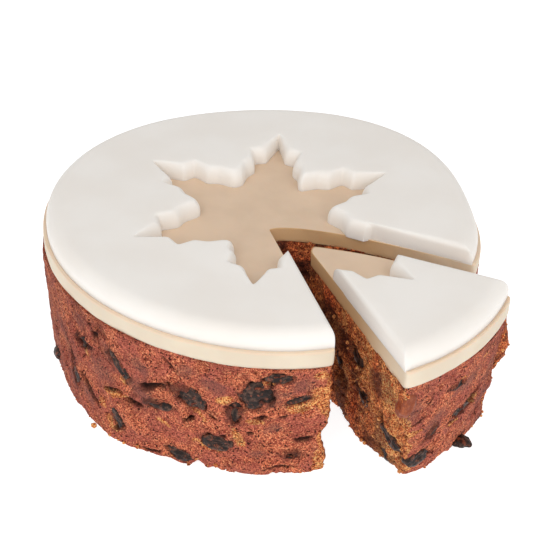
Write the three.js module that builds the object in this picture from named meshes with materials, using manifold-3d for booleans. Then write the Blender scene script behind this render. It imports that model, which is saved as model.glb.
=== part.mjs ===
/**
 * Iced Christmas cake: a dark fruit cake with bare sides, a disc of marzipan on top of
 * it and a thick disc of white icing with a six-armed snowflake cut right through it.
 * One slice is drawn part of the way out, with its tip still inside the notch.
 *
 * Millimetres and degrees, +Z up.  The origin is on the flat underside of the cake, on
 * the axis of the round tin that it was baked in.  Angles run anticlockwise from +X.
 */
import * as THREE from 'three';
import Module from 'manifold-3d';
import { mergeVertices } from 'three/addons/utils/BufferGeometryUtils.js';

const wasm = await Module();
wasm.setup();

// ---- Driving dimensions --------------------------------------------------------------
const CAKE_RADIUS = 77;        // crumb and marzipan, at the rim
const ICING_INSET = 1.3;       // the icing stops this far inside the marzipan
const CRUMB_RIM = 46;          // top of the crumb at the rim
const CRUMB_DOME = 1.4;        // rise of the crumb from the rim to the middle
const MARZIPAN_TOP = 52.6;
const ICING_TOP = 59.2;
const GAP = 0.3;               // clearance kept between pieces that touch
const STAR_WALL = 1.2;         // upright foot of the icing's wall round the snowflake
const RIM_ROUNDING = { wide: 5.4, deep: 4.6 };      // icing, outer edge
const CUT_ROUNDING = { wide: 1.8, deep: 1.4 };      // icing, knife cuts

// Outline of the tin-baked round: [waves per turn, cosine part, sine part]
const OUTLINE_WAVES = [[2, 0.0034, 0.0007], [3, -0.0209, 0.0178], [4, -0.0079, 0.0029]];
const FLARE = { at: -14, wide: 18, share: 0.05 };   // the whole rim runs out beside the notch
// Swellings of the baked side: place and width in degrees, then mm at its foot and its top
const SWELLS = [[-126, 16, 3.6, 0.2], [-165, 28, 0.4, 1.2]];

// The cake with its notch, and the slice in its own frame before it is moved out.
// An arc runs anticlockwise along the rim from corner to corner, then a cut runs in to
// the tip and a second one runs out again.  A cut bulges to its left by a length that
// depends on the share t of the way along it.  The crumb has worn back more than the
// layers on it: its loss is told by the share h of its height and the share t of the arc.
const MAIN = {
  rim: (angle) => CAKE_RADIUS * outline(angle),
  arc: { from: -20.2, to: 287.7, steps: 52 },
  tipIn: new THREE.Vector2(2.8, -8.1),
  tipOut: new THREE.Vector2(2.9, -7.6),
  cutSteps: 8,
  bulgeIn: () => 0,
  bulgeOut: (t) => 4.6 * Math.sin(Math.PI * t ** 0.6),
  crumbLoss: (h) => ({
    inset: (t, angle) =>
      (1 - h) ** 1.5 * (0.6 + 0.6 * THREE.MathUtils.smoothstep(t, 0.88, 1)) - swell(angle, h),
    fromTurn: 0,
    toTurn: -0.3 - 1.6 * bell(h, 0.34, 0.11),
    bulgeIn: (t) => 0.8 * Math.sin(Math.PI * t) * Math.sin(Math.PI * h),
    bulgeOut: MAIN.bulgeOut,
  }),
  middle: new THREE.Vector2(-12, 18),
};
const SLICE = {
  rim: () => 1.015 * CAKE_RADIUS,
  arc: { from: -59.1, to: -17, steps: 10 },
  tipIn: new THREE.Vector2(7.5, -0.8),
  tipOut: new THREE.Vector2(6.9, -4),
  cutSteps: 8,
  bulgeIn: (t) => -3.6 * Math.sin(Math.PI * t ** 1.2),
  bulgeOut: () => 0,
  crumbLoss: (h) => ({
    inset: (t) => (1 - h) ** 1.2 * (6.9 - 3.2 * t),
    fromTurn: 7.2 * (1 - h),
    toTurn: 0,
    bulgeIn: SLICE.bulgeIn,
    bulgeOut: (t) => -3 * (1 - h) * Math.sin(Math.PI * t ** 1.8),
  }),
  middle: new THREE.Vector2(42, -28),
};
const SLICE_MOVE = { x: 10.5, y: -16.2, turn: -4.4 };

// Snowflake: half of one arm from its tip to the valley beside it.  Each corner is given
// along and across the arm, in cake radii: at the foot of the icing's wall, then where the
// soft edge meets the flat top.  The last number is the turn on the rim that it joins.
const STAR_MIDDLE = new THREE.Vector2(0.6, 0);
const ARM_ANGLES = [-33.4, 26.6, 83.8, 146.6, 207.8, 266.6];
const HALF_ARM = [
  { foot: [0.645, 0], edge: [0.66, 0], spread: 0 },
  { foot: [0.56, 0.028], edge: [0.58, 0.045], spread: 4.5 },
  { foot: [0.495, 0.046], edge: [0.525, 0.075], spread: 9 },
  { foot: [0.477, 0.106], edge: [0.5, 0.138], spread: 14.5 },
  { foot: [0.392, 0.092], edge: [0.415, 0.128], spread: 17.5 },
  { foot: [0.345, 0.124], edge: [0.372, 0.156], spread: 22.5 },
  { foot: [0.272, 0.134], edge: [0.307, 0.165], spread: 27.5 },
  { foot: [0.255, 0.1472], edge: [0.295, 0.1703], spread: 30 },
];
const ARM_POINTS = 2 * (HALF_ARM.length - 1);
const TOOTH = ARM_POINTS / 2 + 3;      // place of an arm's second tooth in its own points
// Where the hand-cut outline strays from the pattern: corner of the star, then mm in x and y
const STRAYS = [
  [66, 0, -1.5], [67, 0, -2], [68, 0.5, -2.5], [69, 1, -3], [70, 1.8, -3.3], [71, 1.8, -3.4],
  [72, 0.4, -1.2], [79, -0.4, -0.8], [80, -1.2, -1.6], [81, -0.4, -1.4],
];
const SLICE_STAR_SHIFT = new THREE.Vector2(-0.4, 1.7);    // the slice's share of it, in the slice's frame

// Fruit that shows in the crust: [angle or place along the cut, height, length, width, tilt, proud]
const MAIN_RAISINS = [
  [-127, 32, 13.5, 4.4, -62, 0.5], [-107.2, 29.5, 15.5, 6.6, -36, 0.7], [-115.8, 22.6, 9.5, 3.4, 4, 0.4],
  [-128.2, 8.4, 7.6, 4.6, -38, 0.6], [-99.8, 12.6, 9.6, 5.4, -4, 0.9], [-95.6, 26, 9.5, 4.6, 88, 0.5],
  [-90, 34.4, 12.5, 10.5, 35, 0.5], [-85.5, 42, 9.5, 4, 4, 0.5], [-80.3, 32.8, 9, 3, 14, 0.4],
  [-81.8, 8.5, 6, 4, 10, 0.6], [-109.9, 3.4, 9, 3.8, -6, 0.8], [-143, 30.6, 6, 3.4, -40, 0.5],
  [-146.5, 12, 8, 4, -58, 0.6], [-163.5, 6.5, 6.5, 4, 75, 1.6],
];
const SLICE_CRUST_RAISINS = [
  [-40.9, 35.6, 7, 3.2, 12, 0.5], [-35.4, 19.4, 13, 3.2, 4, 0.4], [-47, 19.4, 8, 3.4, 48, 0.5],
  [-30.7, 2.6, 8, 4.2, 6, 4], [-49.9, 8.6, 8.4, 5, 14, 1.2], [-57, 37.5, 9, 5.2, 80, 0.9],
];
const SLICE_CUT_RAISINS = [
  [0.37, 23.5, 8, 6, -80, 0.6], [0.54, 35, 9.5, 7, -50, 0.6], [0.62, 19, 7, 5, -40, 0.6],
  [0.88, 14, 10, 4.6, -30, 1], [0.87, 3.4, 8, 4.4, -8, 0.7],
];
const RAISIN_DEPTH = 5;

// ---- Materials -----------------------------------------------------------------------
const crumb = new THREE.MeshStandardMaterial({ color: 0x8f5138, roughness: 0.9, metalness: 0 });
const marzipan = new THREE.MeshStandardMaterial({ color: 0xe6d3b4, roughness: 0.7, metalness: 0 });
const icing = new THREE.MeshStandardMaterial({ color: 0xf3efe8, roughness: 0.6, metalness: 0 });
const dried = new THREE.MeshStandardMaterial({ color: 0x2e211d, roughness: 0.5, metalness: 0 });

// ---- Small helpers -------------------------------------------------------------------
const rad = THREE.MathUtils.degToRad;
const polar = (angle, radius) => new THREE.Vector2(radius, 0).rotateAround(new THREE.Vector2(), rad(angle));
const steps = (count) => Array.from({ length: count }, (_, i) => i);
const bell = (x, at, wide) => Math.exp(-(((x - at) / wide) ** 2));

/** Radius of the round at an angle, as a factor: a circle with slow waves on it and the flare. */
function outline(angle) {
  return OUTLINE_WAVES.reduce(
    (sum, [n, c, s]) => sum + c * Math.cos(rad(n * angle)) + s * Math.sin(rad(n * angle)),
    1 + FLARE.share * bell(angle, FLARE.at, FLARE.wide));
}

/** How far the baked side swells out at an angle and a share h of its height. */
function swell(angle, h) {
  const turn = THREE.MathUtils.euclideanModulo(angle + 180, 360) - 180;
  return SWELLS.reduce((sum, [at, wide, foot, top]) =>
    sum + bell(turn, at, wide) * (foot * (1 - h) ** 1.5 + top * h), 0);
}

/** Top of the crumb, which rose a little in the middle. */
const crumbTop = (point) => CRUMB_RIM + CRUMB_DOME * (1 - (point.length() / CAKE_RADIUS) ** 2);

/** Points of a cut from one place to another, bulging to its left, without both ends. */
function cutLine(from, to, bulge, count) {
  const left = to.clone().sub(from).rotateAround(new THREE.Vector2(), Math.PI / 2).normalize();
  return steps(count - 1).map((i) => {
    const t = (i + 1) / count;
    return from.clone().lerp(to, t).addScaledVector(left, bulge(t));
  });
}

/** Closed anticlockwise plan of a piece: rim, cut in, tip, cut out. */
function planLoop(plan, { inset, fromTurn = 0, toTurn = 0, bulgeIn, bulgeOut }) {
  const { steps: count } = plan.arc;
  const from = plan.arc.from + fromTurn;
  const to = plan.arc.to + toTurn;
  const rim = steps(count + 1).map((i) => {
    const angle = THREE.MathUtils.lerp(from, to, i / count);
    return polar(angle, plan.rim(angle) - inset(i / count, angle));
  });
  return [
    ...rim,
    ...cutLine(rim.at(-1), plan.tipIn, bulgeIn, plan.cutSteps), plan.tipIn.clone(),
    plan.tipOut.clone(), ...cutLine(plan.tipOut, rim[0], bulgeOut, plan.cutSteps),
  ];
}

/** Closed mesh from a stack of loops with the same number of points and a point at each end. */
function skin(loops, startPole, endPole) {
  const count = loops[0].length;
  const positions = [startPole, ...loops.flat(), endPole].flatMap((p) => [p.x, p.y, p.z]);
  const end = loops.length * count + 1;
  const at = (row, i) => 1 + row * count + (i % count);
  const faces = [];
  for (const i of steps(count)) {
    faces.push(0, at(0, i + 1), at(0, i));
    faces.push(end, at(loops.length - 1, i), at(loops.length - 1, i + 1));
    for (const row of steps(loops.length - 1)) {
      faces.push(at(row, i), at(row, i + 1), at(row + 1, i + 1));
      faces.push(at(row, i), at(row + 1, i + 1), at(row + 1, i));
    }
  }
  return indexed(positions, faces);
}

function indexed(positions, faces) {
  const geometry = new THREE.BufferGeometry();
  geometry.setAttribute('position', new THREE.Float32BufferAttribute(positions, 3));
  geometry.setIndex(faces);
  return geometry;
}

/** Rings inside a loop, drawn in towards the middle by the given factors. */
const inwards = (loop, middle, factors) =>
  factors.map((factor) => loop.map((point) => middle.clone().lerp(point, factor)));

const raised = (loop, height) => loop.map((point) => new THREE.Vector3(point.x, point.y, height(point)));

// ---- Crumb ---------------------------------------------------------------------------
/** Low swellings of the baked side, a little stronger at the ragged foot. */
function sideWaves(z) {
  const foot = z < 2 ? 1.6 : 1;
  return (angle) =>
    foot * (0.35 * Math.sin(rad(7 * angle) + z / 9) + 0.25 * Math.sin(rad(16 * angle) - z / 6));
}

/** How far inside the round the side of the crumb is, at a share of its height. */
function crumbInset(plan, share) {
  const loss = plan.crumbLoss(share).inset;
  const waves = sideWaves(share * CRUMB_RIM);
  return (t, angle) => 0.5 + loss(t, angle) - waves(angle);
}

/** Plan of the crumb at a height given as a share of the rim's height. */
const crumbLoop = (plan, share) =>
  planLoop(plan, { ...plan.crumbLoss(share), inset: crumbInset(plan, share) });

/** Crumb of the cake or of the slice: flat below, domed on top. */
function crumbBody(plan) {
  const shares = [0, 0.04, 0.35, 0.7, 1];
  const sides = shares.map((share) => raised(crumbLoop(plan, share), (point) => share * crumbTop(point)));
  const top = inwards(crumbLoop(plan, 1), plan.middle, [0.66, 0.33]).map((loop) => raised(loop, crumbTop));
  const { x, y } = plan.middle;
  const underside = new THREE.Vector3(x, y, 0);
  return skin([...sides, ...top], underside, new THREE.Vector3(x, y, crumbTop(plan.middle)));
}

// ---- Marzipan ------------------------------------------------------------------------
/** Marzipan of even thickness on the domed crumb, with eased edges at the rim. */
function marzipanBody(plan) {
  const bottom = (point) => crumbTop(point) + GAP;
  const profile = [[0, 0.5], [0.2, 0], [0.8, 0.2], [1, 0.9]];
  const loop = (inset) => planLoop(plan, { ...plan, inset: () => inset });
  const sides = profile.map(([share, inset]) =>
    raised(loop(inset), (point) => THREE.MathUtils.lerp(bottom(point), MARZIPAN_TOP, share)));
  const under = inwards(loop(profile[0][1]), plan.middle, [0.33, 0.66]).map((ring) => raised(ring, bottom));
  const { x, y } = plan.middle;
  return skin([...under, ...sides], new THREE.Vector3(x, y, bottom(plan.middle)),
    new THREE.Vector3(x, y, MARZIPAN_TOP));
}

// ---- Icing ---------------------------------------------------------------------------
/** Corners of the snowflake, arm after arm, each with the rim angle that it joins. */
function starCorners() {
  const mirrored = ({ foot, edge, spread }) =>
    ({ foot: [foot[0], -foot[1]], edge: [edge[0], -edge[1]], spread: -spread });
  const arm = [...HALF_ARM.slice(1).reverse().map(mirrored), ...HALF_ARM.slice(0, -1)];
  const corners = ARM_ANGLES.flatMap((turn) => {
    const placed = ([along, across]) => new THREE.Vector2(along, across).multiplyScalar(CAKE_RADIUS)
      .rotateAround(new THREE.Vector2(), rad(turn)).add(STAR_MIDDLE);
    return arm.map(({ foot, edge, spread }) =>
      ({ foot: placed(foot), edge: placed(edge), angle: turn + spread }));
  });
  for (const [place, x, y] of STRAYS) {
    corners[place] = shifted(corners[place], new THREE.Vector2(x, y));
  }
  return corners;
}

/** A corner of the snowflake moved across the plan. */
const shifted = ({ foot, edge, angle }, by) => (
  { foot: foot.clone().add(by), edge: edge.clone().add(by), angle }
);

const between = (a, b, t) => a.clone().lerp(b, t);

/** Where the line from a to b meets the straight cut from a tip to a corner. */
function meetCut(a, b, tip, corner) {
  const across = corner.clone().sub(tip).rotateAround(new THREE.Vector2(), Math.PI / 2);
  const side = (p) => p.clone().sub(tip).dot(across);
  return between(a, b, side(a) / (side(a) - side(b)));
}

/** Column of icing on a cut, where the snowflake's outline crosses it between two corners. */
function cutColumn(a, b, tip, corner) {
  return {
    foot: meetCut(a.foot, b.foot, tip, corner),
    edge: meetCut(a.edge, b.edge, tip, corner),
    angle: (a.angle + b.angle) / 2,
  };
}

/** Drop below the flat top at a distance from an edge that is rounded as a quarter ellipse. */
function drop(distance, { wide, deep }) {
  const t = Math.min(distance / wide, 1);
  return deep * (1 - Math.sqrt(1 - (1 - t) ** 2));
}

/** Join of two columns, at a share of the way from the first to the second. */
const blended = (a, b, t) => ({
  foot: between(a.foot, b.foot, t), edge: between(a.edge, b.edge, t), rim: between(a.rim, b.rim, t),
});

/** Columns from the snowflake to the rim, with narrow ones next to both cuts. */
function icingColumns(plan, run) {
  const first = run[0].angle;
  const last = run.at(-1).angle;
  const { from, to } = plan.arc;
  const columns = run.map(({ foot, edge, angle }) => {
    const rimAngle = from + ((angle - first) * (to - from)) / (last - first);
    return { foot, edge, rim: polar(rimAngle, plan.rim(rimAngle) - ICING_INSET), fromCut: Infinity };
  });
  const besides = [0, 0.25, 0.6, 1].map((share) => share * CUT_ROUNDING.wide);
  const beside = (end, next) => besides.map((mm) =>
    ({ ...blended(end, next, mm / end.rim.distanceTo(next.rim)), fromCut: mm }));
  return [
    ...beside(columns[0], columns[1]), ...columns.slice(1, -1),
    ...beside(columns.at(-1), columns.at(-2)).reverse(),
  ];
}

/** Icing between a run of the snowflake's outline and the rim, ended by two cuts. */
function icingBody(plan, run) {
  const base = MARZIPAN_TOP + GAP;
  const wallTurns = [0, 22, 45, 68, 90].map(rad);
  const fromRim = [1, 0.6, 0.28, 0.09, 0].map((share) => share * RIM_ROUNDING.wide);
  const sections = icingColumns(plan, run).map(({ foot, edge, rim, fromCut }) => {
    const lost = drop(fromCut, CUT_ROUNDING);
    const at = (p, z) => new THREE.Vector3(p.x, p.y, z);
    const wall = wallTurns.map((turn) => {
      const rise = STAR_WALL + (ICING_TOP - base - STAR_WALL) * Math.sin(turn);
      return at(between(foot, edge, 1 - Math.cos(turn)), Math.min(base + rise, ICING_TOP - lost));
    });
    const reach = edge.distanceTo(rim);
    const shoulder = fromRim.map((mm) =>
      at(between(rim, edge, mm / reach), ICING_TOP - Math.max(drop(mm, RIM_ROUNDING), lost)));
    return [...wall, ...shoulder, at(rim, base), at(foot, base)];
  });
  return band(sections, sections[0].length - 1);
}

/** Closed mesh through sections of equal length, with ends fanned from one of their points. */
function band(sections, anchor) {
  const count = sections[0].length;
  const at = (row, i) => row * count + (i % count);
  const last = sections.length - 1;
  const faces = [];
  for (const i of steps(count)) {
    for (const row of steps(last)) {
      faces.push(at(row, i), at(row, i + 1), at(row + 1, i + 1));
      faces.push(at(row, i), at(row + 1, i + 1), at(row + 1, i));
    }
    if (i !== anchor && (i + 1) % count !== anchor) {
      faces.push(at(0, anchor), at(0, i + 1), at(0, i));
      faces.push(at(last, anchor), at(last, i), at(last, i + 1));
    }
  }
  return indexed(sections.flat().flatMap((p) => [p.x, p.y, p.z]), faces);
}

// ---- Dried fruit ---------------------------------------------------------------------
/** Raisin as a lumpy ellipsoid, grown by a clearance for the pocket that it sits in. */
function raisinBody({ place, out, along, length, width }, clearance) {
  const geometry = new THREE.IcosahedronGeometry(1, 1);
  const half = new THREE.Vector3(length, width, RAISIN_DEPTH).multiplyScalar(0.5).addScalar(clearance);
  const up = out.clone().cross(along);
  const frame = new THREE.Matrix4().makeBasis(along, up, out).setPosition(place);
  const points = geometry.getAttribute('position');
  for (const i of steps(points.count)) {
    const p = new THREE.Vector3().fromBufferAttribute(points, i);
    const lump = 1 + 0.05 * Math.sin(4 * p.x + 3 * p.y) + 0.04 * Math.sin(5 * p.z - 4 * p.y);
    p.multiplyScalar(lump).multiply(half).applyMatrix4(frame);
    points.setXYZ(i, p.x, p.y, p.z);
  }
  return geometry;
}

/** Where a raisin lies: on the face at `place`, turned by its tilt and sunk but for `proud`. */
function seat(place, out, [, , length, width, tilt, proud]) {
  const level = new THREE.Vector3(0, 0, 1).cross(out).normalize();
  const along = level.applyAxisAngle(out, rad(tilt));
  const centre = place.clone().addScaledVector(out, proud - RAISIN_DEPTH / 2);
  return { place: centre, out, along, length, width };
}

function onCrust(plan, row) {
  const [angle, z] = row;
  const t = (angle - plan.arc.from + (angle < plan.arc.from ? 360 : 0)) / (plan.arc.to - plan.arc.from);
  const place = polar(angle, plan.rim(angle) - crumbInset(plan, z / CRUMB_RIM)(t, angle));
  const out = polar(angle, 1);
  return seat(new THREE.Vector3(place.x, place.y, z), new THREE.Vector3(out.x, out.y, 0), row);
}

/** The slice's left cut runs from its tip to the first point of its rim. */
function onLeftCut(plan, row) {
  const [along, z] = row;
  const loop = crumbLoop(plan, z / CRUMB_RIM);
  const cut = [...loop.slice(-plan.cutSteps), loop[0]];
  const reach = along * (cut.length - 1);
  const i = Math.floor(reach);
  const place = between(cut[i], cut[i + 1], reach - i);
  const out = cut[i + 1].clone().sub(cut[i]).rotateAround(new THREE.Vector2(), -Math.PI / 2).normalize();
  return seat(new THREE.Vector3(place.x, place.y, z), new THREE.Vector3(out.x, out.y, 0), row);
}

// ---- Solids --------------------------------------------------------------------------
function toManifold(geometry) {
  const bare = geometry.clone();
  bare.deleteAttribute('normal');
  bare.deleteAttribute('uv');
  const merged = mergeVertices(bare, 1e-4);
  return new wasm.Manifold(new wasm.Mesh({
    numProp: 3,
    vertProperties: new Float32Array(merged.getAttribute('position').array),
    triVerts: new Uint32Array(merged.getIndex().array),
  }));
}

function toGeometry(manifold) {
  const mesh = manifold.getMesh();
  return indexed(Array.from(mesh.vertProperties), Array.from(mesh.triVerts));
}

/** Crumb with a pocket for every raisin in it. */
function pocketed(body, seats) {
  const pockets = seats.map((place) => toManifold(raisinBody(place, GAP + 0.05)));
  return toGeometry(pockets.reduce((left, pocket) => left.subtract(pocket), toManifold(body)));
}

// ---- The cake ------------------------------------------------------------------------
function addPiece(group, name, geometry, material) {
  const mesh = new THREE.Mesh(geometry, material);
  mesh.name = name;
  group.add(mesh);
}

/** One part of the cake with its three layers and its fruit. */
function addPart(group, label, plan, seats, run) {
  addPiece(group, `${label}_crumb`, pocketed(crumbBody(plan), seats), crumb);
  addPiece(group, `${label}_marzipan`, marzipanBody(plan), marzipan);
  addPiece(group, `${label}_icing`, icingBody(plan, run), icing);
  seats.forEach((place, i) => addPiece(group, `${label}_raisin_${i + 1}`, raisinBody(place, 0), dried));
}

// The snowflake's outline on the cake runs from a tooth of the arm that the slice took to
// the last arm, where the left cut crosses it.  The slice has the rest of that first arm.
const star = starCorners();
const lastTooth = (ARM_ANGLES.length - 1) * ARM_POINTS + TOOTH;
const corner = (plan, angle) => polar(angle, plan.rim(angle));
const mainRun = [
  ...star.slice(TOOTH, lastTooth + 2),
  cutColumn(star[lastTooth + 1], star[lastTooth + 2], MAIN.tipIn, corner(MAIN, MAIN.arc.to)),
];
const sliceStar = star.slice(0, TOOTH + 1).map((point) => shifted(point, SLICE_STAR_SHIFT));
const sliceRun = [
  cutColumn(sliceStar[1], sliceStar[2], SLICE.tipOut, corner(SLICE, SLICE.arc.from)),
  ...sliceStar.slice(2, TOOTH),
  cutColumn(sliceStar[TOOTH - 1], sliceStar[TOOTH], SLICE.tipIn, corner(SLICE, SLICE.arc.to)),
];

const cake = new THREE.Group();
addPart(cake, 'cake', MAIN, MAIN_RAISINS.map((row) => onCrust(MAIN, row)), mainRun);

const slice = new THREE.Group();
slice.position.set(SLICE_MOVE.x, SLICE_MOVE.y, 0);
slice.rotation.z = rad(SLICE_MOVE.turn);
addPart(slice, 'slice', SLICE, [
  ...SLICE_CRUST_RAISINS.map((row) => onCrust(SLICE, row)),
  ...SLICE_CUT_RAISINS.map((row) => onLeftCut(SLICE, row)),
], sliceRun);
cake.add(slice);

export default cake;
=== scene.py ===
"""Looks of an iced Christmas fruit cake: dark bare crumb, a marzipan disc, white icing with a
six-armed snowflake cut through it, and one slice drawn part of the way out.

Shapes are worked out in millimetres and scaled to metres when they become meshes.  Angles
of the plan run anticlockwise from +X, in degrees.
"""

import bpy
import numpy as np
from mathutils import Matrix, Vector

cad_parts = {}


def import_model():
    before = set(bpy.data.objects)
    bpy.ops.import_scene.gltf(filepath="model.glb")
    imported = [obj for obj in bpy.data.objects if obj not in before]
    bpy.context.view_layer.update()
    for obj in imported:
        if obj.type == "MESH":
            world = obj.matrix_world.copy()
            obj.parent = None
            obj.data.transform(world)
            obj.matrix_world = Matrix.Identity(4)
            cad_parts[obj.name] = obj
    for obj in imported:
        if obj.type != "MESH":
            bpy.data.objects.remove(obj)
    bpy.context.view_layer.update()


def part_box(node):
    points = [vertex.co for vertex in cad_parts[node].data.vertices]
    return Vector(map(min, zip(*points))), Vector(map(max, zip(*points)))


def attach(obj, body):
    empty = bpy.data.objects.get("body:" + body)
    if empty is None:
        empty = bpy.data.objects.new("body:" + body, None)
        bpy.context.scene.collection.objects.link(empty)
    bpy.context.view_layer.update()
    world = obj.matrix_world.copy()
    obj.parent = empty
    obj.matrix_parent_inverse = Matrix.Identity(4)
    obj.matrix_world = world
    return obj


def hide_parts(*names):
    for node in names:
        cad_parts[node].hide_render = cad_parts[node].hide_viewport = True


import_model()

# ---- Sizes: the frame's own, and the driving dimensions that its solids were made from ----
MM = 0.001
ICING_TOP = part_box("cake_icing")[1].z / MM
MARZIPAN_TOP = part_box("cake_marzipan")[1].z / MM
CAKE_RADIUS = 77.0
ICING_INSET = 1.3
CRUMB_RIM = 46.0
CRUMB_DOME = 1.4
STAR_WALL = 1.2
RIM_ROUNDING = (5.4, 4.6)
CUT_ROUNDING = (2.4, 1.9)
SUNK = 0.4                      # how deep each layer presses into the one below it
GAP = 0.3                       # clearance that the frame keeps between pieces that touch
WELL_PROUD = 0.75               # fruit that is at least this proud keeps no film of crumb
FAR = 99.0                      # a distance past all rounding
FACE_REACH = 5.0                # an oval acts on points that are this near to its face
OUTLINE_WAVES = ((2, 0.0034, 0.0007), (3, -0.0209, 0.0178), (4, -0.0079, 0.0029))
FLARE = (-14, 18, 0.05)
SWELLS = ((-126, 16, 3.6, 0.2), (-165, 28, 0.4, 1.2))
SLICE_MOVE = (10.5, -16.2, -4.4)
RAISIN_DEPTH, STANDING_DEPTH = 5.0, 8.6
MAIN_ARC_LENGTH, SLICE_ARC_LENGTH = 412.0, 52.0     # round the crust, roughly
FLOOR_REACH = 3000.0


def smooth(low, high, x):
    """Share from 0 at low to 1 at high, with a soft start and end: 3t^2 - 2t^3."""
    t = np.clip((x - low) / (high - low), 0, 1)
    return t * t * (3 - 2 * t)


def bell(x, middle, width):
    """Bell curve, exp of minus the square of the distance from the middle in widths."""
    return np.exp(-(((x - middle) / width) ** 2))


def outline(angle):
    """Radius of the tin-baked round as a factor: 1, a few slow sine waves and the flare's bell."""
    a = np.radians(angle)
    waves = sum(c * np.cos(n * a) + s * np.sin(n * a) for n, c, s in OUTLINE_WAVES)
    return 1 + waves + FLARE[2] * bell(angle, FLARE[0], FLARE[1])


def swell(angle, h):
    """How far the crust swells out of the round: bells along the rim, from foot to top in mm."""
    turn = (angle + 180) % 360 - 180
    return sum(bell(turn, at, wide) * (foot * (1 - h) ** 1.5 + top * h) for at, wide, foot, top in SWELLS)


def no_bulge(t, h):
    """A straight cut."""
    return 0 * t * h


def bowed(depth, power):
    """A cut bowed to its left by half a sine wave, whose peak lies where t to the power is half."""
    return lambda t, h: depth * np.sin(np.pi * t ** power) + 0 * h


# Each part is an arc of the rim, a cut in to the tip and a cut out again.  h is the share of
# the crumb's height, t the share of the way along the arc or along a cut; insets and bulges
# are in mm, turns of the cuts in degrees.  Lifts of the foot: angle, width in degrees, mm.
MAIN = dict(
    rim=lambda angle: CAKE_RADIUS * outline(angle),
    arc=(-20.2, 287.7), tip_in=(2.8, -8.1), tip_out=(2.9, -7.6), middle=(-12.0, 18.0),
    bulge_in=no_bulge, bulge_out=bowed(4.6, 0.6),
    inset=lambda t, h, angle: (1 - h) ** 1.5 * (0.6 + 0.6 * smooth(0.88, 1, t)) - swell(angle, h),
    turns=lambda h: (0 * h, -0.3 - 1.6 * bell(h, 0.34, 0.11)),
    crumb_bulge_in=lambda t, h: 0.8 * np.sin(np.pi * t) * np.sin(np.pi * h),
    crumb_bulge_out=bowed(4.6, 0.6),
    lifts=((-104.7, 1.6, 2.0), (-100.9, 1.2, 1.4), (-154, 4, 2.2), (-113, 2, 1.0), (-84, 3, 1.2),
           (24, 3, 1.3), (55, 2, 1.8), (88, 4, 1.6), (127, 2, 1.7), (158, 3, 1.4)),
)
SLICE = dict(
    rim=lambda angle: 1.015 * CAKE_RADIUS + 0 * angle,
    arc=(-59.1, -17.0), tip_in=(7.5, -0.8), tip_out=(6.9, -4.0), middle=(42.0, -28.0),
    bulge_in=bowed(-3.6, 1.2), bulge_out=no_bulge,
    inset=lambda t, h, angle: (1 - h) ** 1.2 * (6.9 - 3.2 * t) + 0 * angle,
    turns=lambda h: (7.2 * (1 - h), 0 * h),
    crumb_bulge_in=bowed(-3.6, 1.2),
    crumb_bulge_out=lambda t, h: -3 * (1 - h) * np.sin(np.pi * t ** 1.8),
    lifts=((-40, 3, 1.5),),
)

# Snowflake, half of one arm: foot and top edge of the wall, along and across the arm in cake
# radii, and the turn on the rim that each corner joins.
STAR_MIDDLE = (0.6, 0.0)
ARM_ANGLES = (-33.4, 26.6, 83.8, 146.6, 207.8, 266.6)
HALF_ARM = (
    (0.645, 0.0, 0.66, 0.0, 0.0), (0.56, 0.028, 0.58, 0.045, 4.5), (0.495, 0.046, 0.525, 0.075, 9.0),
    (0.477, 0.106, 0.5, 0.138, 14.5), (0.392, 0.092, 0.415, 0.128, 17.5), (0.345, 0.124, 0.372, 0.156, 22.5),
    (0.272, 0.134, 0.307, 0.165, 27.5), (0.255, 0.1472, 0.295, 0.1703, 30.0),
)

# Where the hand-cut outline strays from the pattern: corner of the star, then mm along x and y.
STRAYS = ((66, 0, -1.5), (67, 0, -2), (68, 0.5, -2.5), (69, 1, -3), (70, 1.8, -3.3), (71, 1.8, -3.4),
          (72, 0.4, -1.2), (79, -0.4, -0.8), (80, -1.2, -1.6), (81, -0.4, -1.4))
SLICE_STAR_SHIFT = (-0.4, 1.7)

# Raisins of the frame: angle (or share along the cut), height, length, width, tilt, proud.
MAIN_RAISINS = (
    (-127.6, 31.8, 12.5, 3.8, -50, 0.4), (-107.2, 29.5, 15.5, 6.6, -36, 0.7),
    (-115.8, 22.6, 9.5, 3.4, 4, 0.4), (-128.2, 8.4, 7.6, 4.6, -38, 0.6), (-99.8, 12.6, 9.6, 5.4, -4, 0.9),
    (-95.6, 26, 9.5, 4.6, 88, 0.5), (-90, 34.4, 12.5, 10.5, 35, 0.5), (-85.5, 42, 9.5, 4, 4, 0.5),
    (-80.3, 32.8, 9, 3, 14, 0.4), (-81.8, 8.5, 6, 4, 10, 0.6), (-109.9, 3.4, 9, 3.8, -6, 0.8),
    (-143, 30.6, 6, 3.4, -40, 0.5), (-146.5, 12, 8, 4, -58, 0.6), (-163.5, 6.5, 6.5, 4, 75, 1.6),
)
SLICE_CRUST_RAISINS = (
    (-40.9, 35.6, 7, 3.2, 12, 0.5), (-35.4, 19.4, 13, 3.2, 4, 0.4), (-47, 19.4, 8, 3.4, 48, 0.5),
    (-32, 1.8, 5, 3, 0, 4), (-49.9, 8.6, 8.4, 5, 14, 1.2), (-57, 37.5, 9, 5.2, 80, 0.9),
)
SLICE_CUT_RAISINS = (
    (0.37, 23.5, 8, 6, -80, 0.6), (0.54, 35, 9.5, 7, -50, 0.6), (0.62, 19, 7, 5, -40, 0.6),
    (0.88, 14, 10, 4.6, -30, 1), (0.87, 3.4, 8, 4.4, -8, 0.7),
)
SULTANA = 5                     # place of the pale sultana at the corner among the slice's crust fruit
RELIEF_KINDS = ("hollows", "stains", "torn", "lumps")

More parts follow.
